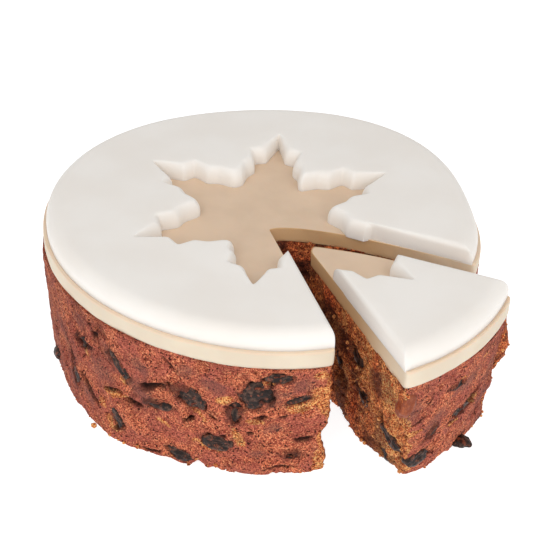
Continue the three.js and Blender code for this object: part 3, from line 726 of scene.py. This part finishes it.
def icing_piece(name, part, run, material):
    """Icing from the snowflake to the rim, as columns that stand side by side along the outline.

    Each column climbs the wall, a quarter ellipse above an upright foot, crosses the flat top
    and rolls over the rounded rim.  Near a knife cut it dips by the cut's own rounding.  The
    first and last columns only close the body, as the cut's upright faces.
    """
    base = MARZIPAN_TOP - SUNK
    columns = resampled(run, 0.62, (2, 4))
    low, high = part["arc"]
    angle = low + (columns[:, 4] - columns[0, 4]) * (high - low) / (columns[-1, 4] - columns[0, 4])
    rim = polar(angle, part["rim"](angle) - ICING_INSET)
    foot, edge = columns[:, :2], columns[:, 2:4]

    beside = np.array([0, 0, 0.12, 0.3, 0.55, 0.85, 1.2, 1.6]) / 1.6 * CUT_ROUNDING[0]
    near = len(beside)

    def near_cut(values, first, second):
        reach = np.linalg.norm(rim[second] - rim[first])
        return values[first] + (values[second] - values[first]) * (beside / reach)[:, None]

    def with_cuts(values):
        first, last = near_cut(values, 0, near), near_cut(values, -1, -1 - near)
        return np.concatenate([first, values[near:-near], last[::-1]])
    foot, edge, rim_line = with_cuts(foot), with_cuts(edge), with_cuts(rim)
    from_cut = np.concatenate([beside, np.full(len(foot) - 2 * near, FAR), beside[::-1]])

    turn = np.radians(np.linspace(0, 90, 15))
    lost = rounded_drop(from_cut, CUT_ROUNDING)
    wall_rise = STAR_WALL + (ICING_TOP - MARZIPAN_TOP - GAP - STAR_WALL) * np.sin(turn)
    wall_flat = foot[:, None] + (edge - foot)[:, None] * (1 - np.cos(turn))[None, :, None]
    wall_z = np.minimum(MARZIPAN_TOP + GAP + wall_rise[None, :], ICING_TOP - lost[:, None])
    across = edge - rim_line
    reach = np.linalg.norm(across, axis=1)
    inner = np.linspace(0.94, 0, 9)[:-1]
    in_mm = RIM_ROUNDING[0] * (1 - np.cos(np.radians(np.linspace(0, 90, 13))))[::-1]
    share = RIM_ROUNDING[0] / reach[:, None] + (1 - RIM_ROUNDING[0] / reach[:, None]) * inner[None, :]
    share = np.concatenate([share, in_mm[None, :] / reach[:, None]], axis=1)
    top_flat = rim_line[:, None] + across[:, None] * share[..., None]
    distance = np.concatenate([np.full(len(inner), FAR), in_mm])[None, :]
    top_z = ICING_TOP - np.maximum(rounded_drop(distance, RIM_ROUNDING), lost[:, None])
    flat = np.concatenate([foot[:, None], wall_flat, top_flat, rim_line[:, None]], axis=1)
    low = np.full((len(foot), 1), base)
    z = np.concatenate([low, wall_z, top_z, low], axis=1)
    top = np.concatenate([flat, z[..., None]], axis=-1)
    above = np.clip((top[..., 2] - base - 1.5) / 4, 0, 1)
    top[..., 2] += above * (0.07 * noise(top * [1, 1, 0.3], 15, 101) - 0.07)
    top[[0, -1], :, 2] = np.minimum(top[[0, -1], :, 2], base + 0.3)
    bottom = top.copy()
    bottom[..., 2] = base - 0.02
    points, faces = shell(top, bottom)
    return mesh_object(name, moved(points, part), faces, material)


# ---- Fruit -----------------------------------------------------------------------------------
def raisin_points(oval, seed, proud, rows, columns):
    """Wrinkled dried fruit: a flat-topped superellipsoid, bent out of shape, with folds along it.

    Folds are ridged noise, one minus twice the absolute value of noise that is stretched along
    the fruit.  The top is at `proud` above the face; fruit that stands far out goes deeper.
    """
    v = np.linspace(0, np.pi, rows + 2)[1:-1, None]
    u = np.linspace(0, 2 * np.pi, columns, endpoint=False)[None, :]
    ball = np.stack([np.cos(v) + 0 * u, np.sin(v) * np.cos(u), np.sin(v) * np.sin(u)], axis=-1)
    a, b = oval["half"]
    depth = RAISIN_DEPTH if proud < 3 else STANDING_DEPTH
    size = np.array([a + 0.3, b + 0.3, depth / 2])
    place = np.sign(ball) * np.abs(ball) ** np.array([0.86, 0.86, 0.6]) * size
    ridges = 1 - np.abs(noise(place * [0.4, 1, 1], 1.2, seed)) * 2
    folds = 0.16 * ridges + 0.4 * noise(place, 2.6, seed + 1) + 0.1 * noise(place, 0.8, seed + 3)
    place = place * (1 + 0.18 * noise(ball * 2, 1.0, seed + 2))[..., None] + ball * folds[..., None]
    frame_axes = np.stack([oval["along"], oval["across"], oval["out"]])
    return (place + [0, 0, proud - depth / 2]) @ frame_axes + oval["place"], ridges


def fruit_piece(name, fruit, part, seed, material, grid=(26, 44)):
    """Raisins in one mesh, from seats and how proud they are, each with a pole at both its ends."""
    points, faces, crests, count = [], [], [], 0
    for i, (oval, proud) in enumerate(fruit):
        rows, ridges = raisin_points(oval, seed + 7 * i, proud, *grid)
        body, sides = closed_body(rows, rows[0].mean(0), rows[-1].mean(0))
        faces += [[corner + count for corner in face[::-1]] for face in sides]
        points.append(body)
        crests.append(np.append(ridges, [0, 0]))
        count += len(body)
    return mesh_object(name, moved(np.concatenate(points), part), faces, material,
                       dict(crest=np.concatenate(crests)))


def loose_grains(name, places, size, seed, material):
    """Small crumbs stuck on at given places: one bent icosahedron each, all in one mesh."""
    g = (1 + 5 ** 0.5) / 2
    corners = np.array([[-1, g, 0], [1, g, 0], [-1, -g, 0], [1, -g, 0], [0, -1, g], [0, 1, g], [0, -1, -g],
                        [0, 1, -g], [g, 0, -1], [g, 0, 1], [-g, 0, -1], [-g, 0, 1]]) / np.hypot(1, g)
    faces = np.array([[0, 11, 5], [0, 5, 1], [0, 1, 7], [0, 7, 10], [0, 10, 11], [1, 5, 9], [5, 11, 4],
                      [11, 10, 2], [10, 7, 6], [7, 1, 8], [3, 9, 4], [3, 4, 2], [3, 2, 6], [3, 6, 8],
                      [3, 8, 9], [4, 9, 5], [2, 4, 11], [6, 2, 10], [8, 6, 7], [9, 8, 1]])
    bent = 1 + 0.35 * noise(corners + 5.3 * np.arange(len(places))[:, None, None], 1.0, seed)
    points = places[:, None] + corners * bent[..., None] * size[:, None, None]
    points[..., 2] = np.maximum(points[..., 2], 0.0)
    numbered = faces[None] + 12 * np.arange(len(places))[:, None, None]
    masks = {label: np.full(12 * len(places), value) for label, value in dict(torn=1.0, gold=0.8).items()}
    return mesh_object(name, points.reshape(-1, 3), numbered.reshape(-1, 3).tolist(), material, masks)


# ---- Materials -------------------------------------------------------------------------------
def linear(r, g, b):
    """Scene colour from 0-255 display values."""
    c = np.array([r, g, b]) / 255
    return (*np.where(c <= 0.04045, c / 12.92, ((c + 0.055) / 1.055) ** 2.4), 1.0)


class Nodes:
    """Short calls for adding and joining the nodes of one tree."""

    def __init__(self, tree):
        self.tree = tree

    def add(self, kind, inputs=None, **settings):
        """A new node with its inputs, by name or number, and its settings."""
        node = self.tree.nodes.new(kind)
        for key, value in settings.items():
            setattr(node, key, value)
        for key, value in (inputs or {}).items():
            self.put(node.inputs[key], value)
        return node

    def put(self, socket, value):
        """Links another node's output to a socket, or sets the socket to a constant."""
        if isinstance(value, bpy.types.NodeSocket):
            self.tree.links.new(value, socket)
        else:
            socket.default_value = value

    def fill(self, shader, **values):
        """Puts a value in each named input of a shader; _ stands for the space in its name."""
        for label, value in values.items():
            self.put(shader.inputs[label.replace("_", " ")], value)

    def math(self, operation, a, b):
        return self.add("ShaderNodeMath", {0: a, 1: b}, operation=operation).outputs[0]

    def times(self, a, b):
        return self.math("MULTIPLY", a, b)

    def mix(self, share, a, b):
        """Colour a where the share is 0 and b where it is 1."""
        return self.add("ShaderNodeMix", {0: share, 6: a, 7: b}, data_type="RGBA").outputs[2]

    def ramp(self, value, low, high):
        """The soft share of a value from low to high, as smooth is for arrays."""
        node = self.add("ShaderNodeMapRange", {0: value, 1: low, 2: high}, interpolation_type="SMOOTHSTEP")
        return node.outputs[0]

    def mask(self, name):
        """A mask that the mesh carries on its points."""
        return self.add("ShaderNodeAttribute", attribute_name=name).outputs["Fac"]

    def noise(self, where, scale, detail=2.0, rough=0.5):
        inputs = {"Vector": where, "Scale": scale, "Detail": detail, "Roughness": rough}
        return self.add("ShaderNodeTexNoise", inputs).outputs[0]

    def group(self, tree, where, **values):
        """A shared effect placed with its own values; gives its outputs."""
        return self.add("ShaderNodeGroup", {"Where": where, **values}, node_tree=tree).outputs

    def bump(self, height, strength, distance):
        inputs = {"Height": height, "Strength": strength, "Distance": distance}
        return self.add("ShaderNodeBump", inputs).outputs[0]


def new_group(name, inputs, outputs):
    """An empty node group with a place and float inputs and float outputs."""
    group = bpy.data.node_groups.new(name, "ShaderNodeTree")
    group.interface.new_socket(name="Where", in_out="INPUT", socket_type="NodeSocketVector")
    for way, labels in (("INPUT", inputs), ("OUTPUT", outputs)):
        for label in labels:
            group.interface.new_socket(name=label, in_out=way, socket_type="NodeSocketFloat")
    n = Nodes(group)
    return group, n, n.add("NodeGroupInput").outputs, n.add("NodeGroupOutput").inputs


def grain_group():
    """Baked grain: slow blotches, grains of about half a millimetre, fine specks and pores, 0 to 1."""
    group, n, given, result = new_group("baked grain", (), ("Blotch", "Grain", "Speck", "Pore"))
    where = given["Where"]
    fine, coarse = n.noise(where, 1900, 2, 0.6), n.noise(where, 640, 3, 0.6)
    grains = n.math("ADD", n.times(fine, 0.8), n.times(coarse, 0.2))
    n.put(result["Blotch"], n.ramp(n.noise(where, 120, 4, 0.6), 0.4, 0.6))
    n.put(result["Grain"], n.ramp(grains, 0.4, 0.6))
    n.put(result["Speck"], n.ramp(n.noise(where, 1700, 1), 0.58, 0.66))
    # Pore: spots that the crumb darkens as painted shade of tiny pits.
    n.put(result["Pore"], n.ramp(n.noise(where, 1250, 1), 0.39, 0.33))
    return group


def patch_group():
    """Soft patches: noise of a scale, detail and roughness, from 0 at its low to 1 at its high value."""
    inputs = "Scale", "Detail", "Roughness", "Low", "High"
    group, n, given, result = new_group("soft patches", inputs, ("Mask",))
    value = n.noise(*(given[label] for label in ("Where", "Scale", "Detail", "Roughness")))
    n.put(result["Mask"], n.ramp(value, given["Low"], given["High"]))
    return group


def patches(n, where, scale, detail, rough, low, high):
    """The soft patches as one material places them."""
    values = dict(Scale=scale, Detail=detail, Roughness=rough, Low=low, High=high)
    return n.group(soft_patches, where, **values)["Mask"]


def new_material(name):
    """A new material: itself, the helper for its nodes, its Principled shader and Object coordinates."""
    material = bpy.data.materials.new(name)
    material.use_nodes = True
    n = Nodes(material.node_tree)
    shader = material.node_tree.nodes["Principled BSDF"]
    where = n.add("ShaderNodeTexCoord").outputs["Object"]
    return material, n, shader, where


def crumb_material():
    """Fruit cake: russet skin, golden to dark torn crumb, greyish fruit under the skin, painted shade in its
    recesses.
    """
    material, n, shader, where = new_material("fruit cake crumb")
    blotch, grain, speck, pore = n.group(baked_grain, where)
    gold = n.mask("gold")
    smooth_skin = n.mix(grain, linear(138, 63, 51), linear(196, 104, 84))
    rough_skin = n.mix(grain, linear(136, 56, 42), linear(228, 128, 90))
    skin = n.mix(blotch, smooth_skin, rough_skin)
    skin_speck = n.times(speck, n.math("ADD", n.times(blotch, 0.6), 0.3))
    skin = n.mix(skin_speck, skin, linear(250, 166, 118))
    # Painted shade of tiny pits in the skin.
    skin = n.mix(pore, skin, linear(58, 22, 16))
    dark_crumb = n.mix(grain, linear(116, 37, 22), linear(255, 132, 76))
    golden_crumb = n.mix(grain, linear(188, 66, 34), linear(255, 190, 114))
    torn = n.mix(gold, dark_crumb, golden_crumb)
    torn = n.mix(n.times(speck, gold), torn, linear(255, 202, 136))
    # Painted shade of tiny pits in the torn crumb.
    torn = n.mix(n.times(pore, 0.8), torn, linear(44, 18, 12))
    colour = n.mix(n.mask("torn"), skin, torn)
    colour = n.mix(n.times(n.mask("spot"), 0.5), colour, linear(112, 76, 70))
    colour = n.mix(n.times(n.mask("stain"), 0.75), colour, linear(70, 42, 34))
    # Painted shade from the dark mask: pores, cracks, creases, valleys and the far left, with darker patches.
    shade = n.times(n.mask("dark"), n.math("SUBTRACT", 0.92, n.times(gold, 0.45)))
    colour = n.mix(shade, colour, linear(56, 20, 14))
    # Painted shade in the hollows and the fruit's pockets.
    colour = n.mix(n.mask("pit"), colour, linear(44, 20, 14))
    n.fill(shader, Base_Color=colour, Roughness=0.72, Specular_IOR_Level=0.16,
           Normal=n.bump(grain, 0.6, 0.0006))
    return material


def marzipan_material():
    """Almond paste: cream; browner top partly drier, partly painted shade; painted shade on the cuts; stained
    by the cake along its lower edge.
    """
    material, n, shader, where = new_material("almond paste")
    cloud = patches(n, where, 60, 3, 0.5, 0.35, 0.65)
    height = n.mask("height")
    side = n.mix(cloud, linear(217, 202, 180), linear(223, 209, 187))
    side = n.mix(n.times(n.ramp(height, 0.8, 0.95), 0.4), side, linear(236, 198, 166))
    # The browner top is partly drier paste and partly painted shade of the recess under the icing.
    top = n.mix(cloud, linear(214, 187, 160), linear(221, 194, 167))
    # Painted shade on the cut faces in the narrow notch.
    side = n.mix(n.mask("notch_shade"), side, linear(202, 164, 120))
    paste = n.mix(n.ramp(height, 0.985, 1.0), side, top)
    stain = n.times(n.ramp(height, 0.24, 0.02), patches(n, where, 220, 3, 0.5, 0.35, 0.7))
    paste = n.mix(n.times(stain, 0.7), paste, linear(172, 118, 78))
    n.fill(shader, Base_Color=paste, Roughness=0.62, Subsurface_Weight=0.25, Subsurface_Scale=0.5,
           Subsurface_Radius=(0.004, 0.0025, 0.0015), Normal=n.bump(n.noise(where, 420, 4), 0.12, 0.0006))
    return material


def icing_material():
    """Rolled sugar icing: white, satin, with very faint cloudiness and hand-smoothed waves."""
    material, n, shader, where = new_material("sugar icing")
    cloud = patches(n, where, 34, 3, 0.5, 0.3, 0.7)
    sugar = n.mix(cloud, linear(239, 233, 226), linear(243, 238, 232))
    n.fill(shader, Base_Color=sugar, Roughness=0.52, Subsurface_Weight=0.5, Subsurface_Scale=1.0,
           Subsurface_Radius=(0.0036, 0.0035, 0.0034), Normal=n.bump(n.noise(where, 110, 4), 0.06, 0.0008))
    return material


def raisin_material(name, deep, bloom_and_sheen):
    """Dried fruit: deep colour in the folds, paler crests, partly dried sugar and partly painted sheen, and
    stuck crumbs.
    """
    material, n, shader, where = new_material(name)
    fleck = patches(n, where, 800, 4, 0.65, 0.38, 0.68)
    crest = n.ramp(n.mask("crest"), -0.2, 0.9)
    # Paler crests: partly the fruit's dry sugar, partly a painted sheen.
    skin = n.mix(n.times(crest, fleck), deep, bloom_and_sheen)
    crumbs = n.times(patches(n, where, 520, 4, 0.7, 0.55, 0.63), 0.8)
    skin = n.mix(crumbs, skin, linear(128, 66, 44))
    n.fill(shader, Base_Color=skin, Roughness=0.4, Specular_IOR_Level=0.24,
           Normal=n.bump(n.noise(where, 1100, 4, 0.6), 0.6, 0.0006))
    return material


# ---- The cake --------------------------------------------------------------------------------
baked_grain, soft_patches = grain_group(), patch_group()
crumb_look = crumb_material()
marzipan_look = marzipan_material()
icing_look = icing_material()
raisin_look = raisin_material("dark raisin", linear(27, 14, 10), linear(104, 74, 60))
sultana_look = raisin_material("amber sultana", linear(134, 62, 34), linear(172, 92, 52))


def main_step(angle):
    """Column spacing in degrees: fine at the front and left, coarser at the back."""
    return 0.36 + 0.36 * smooth(20, 45, angle) * smooth(165, 140, angle)


def main_golden(side, t):
    """Broken strip of torn crust beside the left cut, wider at its foot and near its top."""
    from_corner = (1 - t) * MAIN_ARC_LENGTH + 1.5 * noise(side, 3, 111)
    z = side[..., 2]
    wide = 1.2 + 3.2 * smooth(14, 4, z) + 2.4 * smooth(20, 34, z) * smooth(40, 36, z)
    return smooth(1.5, 0.5, from_corner / wide)


def slice_golden(side, t):
    """Broken strips of the slice's crust at both of its ends."""
    ends = np.minimum(t * SLICE_ARC_LENGTH + 1.5, (1 - t) * SLICE_ARC_LENGTH)
    return smooth(4, 1, ends + 1.6 * noise(side, 4, 112))


def main_gold(side, on_cuts):
    """How golden the torn crumb is: most of it on the crust, noise with darker depths on the cuts."""
    crust = np.clip(0.85 + 0.5 * noise(side, 3, 123), 0, 1)
    cut = np.clip(0.35 + 0.6 * noise(side, 9, 121), 0, 1)
    return (1 - on_cuts) * crust + on_cuts * cut


def slice_gold(side, on_cuts):
    """As on the cake, but the slice's cut face has a golden strip near its rim."""
    streaks = noise(side * [1, 1, 0.45], 5, 122)
    outer = bell(np.hypot(side[..., 0], side[..., 1]), 67, 9)
    strip = 0.8 * outer * smooth(-8, 8, side[..., 2]) * (0.7 + 0.6 * streaks)
    cut = np.clip(0.36 + strip + 0.5 * streaks, 0, 1)
    right = smooth(-32, -24, np.degrees(np.arctan2(side[..., 1], side[..., 0])))
    return (1 - on_cuts) * (0.9 - 0.75 * right) + on_cuts * cut


def cut_patches(side, bright, on_cuts):
    """Dark fruit smeared over the cuts: patches of noise where the crumb isn't golden."""
    return on_cuts * smooth(0.08, 0.36, noise(side * [1, 1, 0.6], 7, 124)) * (1 - 0.45 * bright)


def stuck_crumbs(side, normal, torn, part, count, loose, seed):
    """Places and sizes of small crumbs on torn edges and along the foot, picked by weighted chance.

    Sizes grow with the cube of chance, so that few are large.  Loose crumbs lie beside the
    foot and are given by angle, distance from the middle and size.
    """
    chance = np.random.default_rng(seed)
    weight = torn * (1 - torn) * 4 + 0.05 * torn
    weight[:3] += 0.5
    weight[-6:] = 0
    picked = chance.choice(weight.size, count, replace=False, p=(weight / weight.sum()).ravel())
    size = 0.2 + 0.7 * chance.random(count) ** 3
    places = side.reshape(-1, 3)[picked] + normal.reshape(-1, 3)[picked] * 0.3 * size[:, None]
    fallen = np.array([[*polar(angle, radius), big] for angle, radius, big in loose]).reshape(-1, 3)
    return moved(np.concatenate([places, fallen]), part), np.append(size, fallen[:, 2])


def build_part(label, part, run, rows, spacing, golden, gold):
    """The crumb, marzipan, icing and fruit of one part."""
    fruit = [on_crust(part, row) for row in rows["crust"]] + [on_cut(part, row) for row in rows["cut"]]
    behind = [on_crust(part, row) for row in rows["behind"]]
    seats = {kind: [on_crust(part, row) for row in rows[kind]] for kind in RELIEF_KINDS}
    seats["fruit"] = fruit + behind
    crumb, side, normal, torn = crumb_piece(
        f"{label}_fruit_crumb", part, spacing, seats, golden, gold, crumb_look)
    finished(crumb, "crumb", f"{label}_crumb")
    places, size = stuck_crumbs(side, normal, torn, part, rows["crumbs"], rows["loose"], 7)
    finished(loose_grains(f"{label}_stuck_crumbs", places, size, 131, crumb_look), "crumb")
    smooth_arc = np.linspace(0, 1, int(round(abs(part["arc"][1] - part["arc"][0]) * 1.6)))
    paste = marzipan_piece(f"{label}_almond_layer", part, smooth_arc, np.linspace(0, 1, 90), marzipan_look)
    finished(paste, "marzipan", f"{label}_marzipan")
    finished(icing_piece(f"{label}_sugar_layer", part, run, icing_look), "icing", f"{label}_icing")
    for i, oval in enumerate(fruit):
        proud = oval["last"] if oval["last"] > WELL_PROUD else 0.1
        look = sultana_look if label == "slice" and i == SULTANA else raisin_look
        piece = fruit_piece(f"{label}_fruit_{i + 1}", [(oval, proud)], part, 200 + 7 * i, look)
        finished(piece, "raisin", f"{label}_raisin_{i + 1}")
    if behind:
        less_proud = [(oval, max(0.1, oval["last"] - 0.3)) for oval in behind]
        piece = fruit_piece(f"{label}_far_side_fruit", less_proud, part, 500, raisin_look, (18, 30))
        finished(piece, "raisin")


def icing_runs():
    """Corners of the snowflake from cut to cut, on the cake and on the slice.

    The slice's piece of the pattern has strayed a little, and both end where the outline
    crosses the knife cuts.
    """
    star = star_corners()
    arm = 2 * (len(HALF_ARM) - 1)
    tooth = arm // 2 + 3
    last = (len(ARM_ANGLES) - 1) * arm + tooth
    slice_star = star + [*SLICE_STAR_SHIFT, *SLICE_STAR_SHIFT, 0]

    def end(corners, first, part, side):
        angle = part["arc"][0 if side == "out" else 1]
        return cut_column(corners[first], corners[first + 1], np.array(part["tip_" + side]),
                          polar(angle, part["rim"](angle)))
    main_end = end(star, last + 1, MAIN, "in")
    slice_start, slice_end = end(slice_star, 1, SLICE, "out"), end(slice_star, tooth - 1, SLICE, "in")
    runs = (np.concatenate([star[tooth:last + 2], [main_end]]),
            np.concatenate([[slice_start], slice_star[2:tooth], [slice_end]]))
    for run in runs:
        run[:, 4] = np.degrees(np.unwrap(np.radians(run[:, 4])))
    return runs


main_run, slice_run = icing_runs()
# Columns of the crumb along the rim and along its cuts, and the number of its rows.
main_spacing = (even_steps(*MAIN["arc"], main_step), evenly(72, 0.7), 100)
slice_spacing = (evenly(53, 0.36), evenly(73, 0.4), 124)
main_relief = zip(RELIEF_KINDS, (MAIN_HOLLOWS, MAIN_STAINS, MAIN_TORN, MAIN_LUMPS))
slice_relief = zip(RELIEF_KINDS, (SLICE_HOLLOWS, SLICE_STAINS, SLICE_TORN, SLICE_LUMPS))
main_rows = dict(crust=MAIN_RAISINS, cut=(), behind=far_side(MAIN_RAISINS[:-1]),
                 crumbs=380, loose=((-135.8, 79.1, 1.15),))
main_rows.update((kind, [*rows, *far_side(rows)]) for kind, rows in main_relief)
slice_rows = dict(slice_relief, crust=SLICE_CRUST_RAISINS, cut=SLICE_CUT_RAISINS, behind=(),
                  crumbs=260, loose=())
build_part("cake", MAIN, main_run, main_rows, main_spacing, main_golden, main_gold)
build_part("slice", SLICE, slice_run, slice_rows, slice_spacing, slice_golden, slice_gold)


# ---- Floor, light and camera -----------------------------------------------------------------
def floor():
    """A large pale floor that glows a little, so that shadows on it stay faint."""
    corners = FLOOR_REACH * np.array([[-1, -1, 0], [1, -1, 0], [1, 1, 0], [-1, 1, 0]])
    material, n, shader, _ = new_material("pale floor")
    n.fill(shader, Base_Color=(0.5, 0.5, 0.5, 1), Roughness=1.0, Specular_IOR_Level=0.0,
           Emission_Color=(1, 1, 1, 1), Emission_Strength=0.86)
    mesh_object("studio_floor", corners - [0, 0, 0.05], [[0, 1, 2, 3]], material)


def soft_light(name, azimuth, elevation, distance, size, power):
    """Square area light on a sphere round the cake, facing its middle."""
    lamp = bpy.data.lights.new(name, "AREA")
    lamp.size = size
    lamp.energy = power
    a, e = np.radians(azimuth), np.radians(elevation)
    place = Vector((np.cos(a) * np.cos(e), np.sin(a) * np.cos(e), np.sin(e))) * distance
    aim = Vector((0.01, -0.01, 0.04))
    light = bpy.data.objects.new(name, lamp)
    light.location = place + aim
    light.rotation_euler = (-place).to_track_quat("-Z", "Y").to_euler()
    bpy.context.scene.collection.objects.link(light)


def world():
    """Even white surroundings."""
    surroundings = bpy.data.worlds.new("soft room")
    bpy.context.scene.world = surroundings
    surroundings.use_nodes = True
    background = surroundings.node_tree.nodes["Background"]
    background.inputs["Color"].default_value = (1, 1, 1, 1)
    background.inputs["Strength"].default_value = 0.56


def camera():
    """Camera in front of the cake, 35 degrees above its middle, with a long lens."""
    height, back = 0.30397, 0.38963
    pitch, yaw, roll = 0.6107, 0.0052, 0.025
    forward = Vector((np.sin(yaw) * np.cos(pitch), np.cos(yaw) * np.cos(pitch), -np.sin(pitch)))
    level = Vector((np.cos(yaw), -np.sin(yaw), 0))
    upward = level.cross(forward)
    right = np.cos(roll) * level + np.sin(roll) * upward
    up = np.cos(roll) * upward - np.sin(roll) * level
    lens = bpy.data.cameras.new("camera")
    lens.lens = 87.1
    lens.sensor_width = 36
    view = bpy.data.objects.new("camera", lens)
    turn = Matrix((right, up, -forward)).transposed().to_4x4()
    view.matrix_world = Matrix.Translation((0, -back, height)) @ turn
    bpy.context.scene.collection.objects.link(view)
    bpy.context.scene.camera = view


floor()
world()
soft_light("key", -50, 40, 1.2, 0.7, 3.0)
soft_light("fill", -114, 46, 1.2, 0.9, 5.1)
camera()
bpy.context.scene.view_settings.view_transform = "Standard"
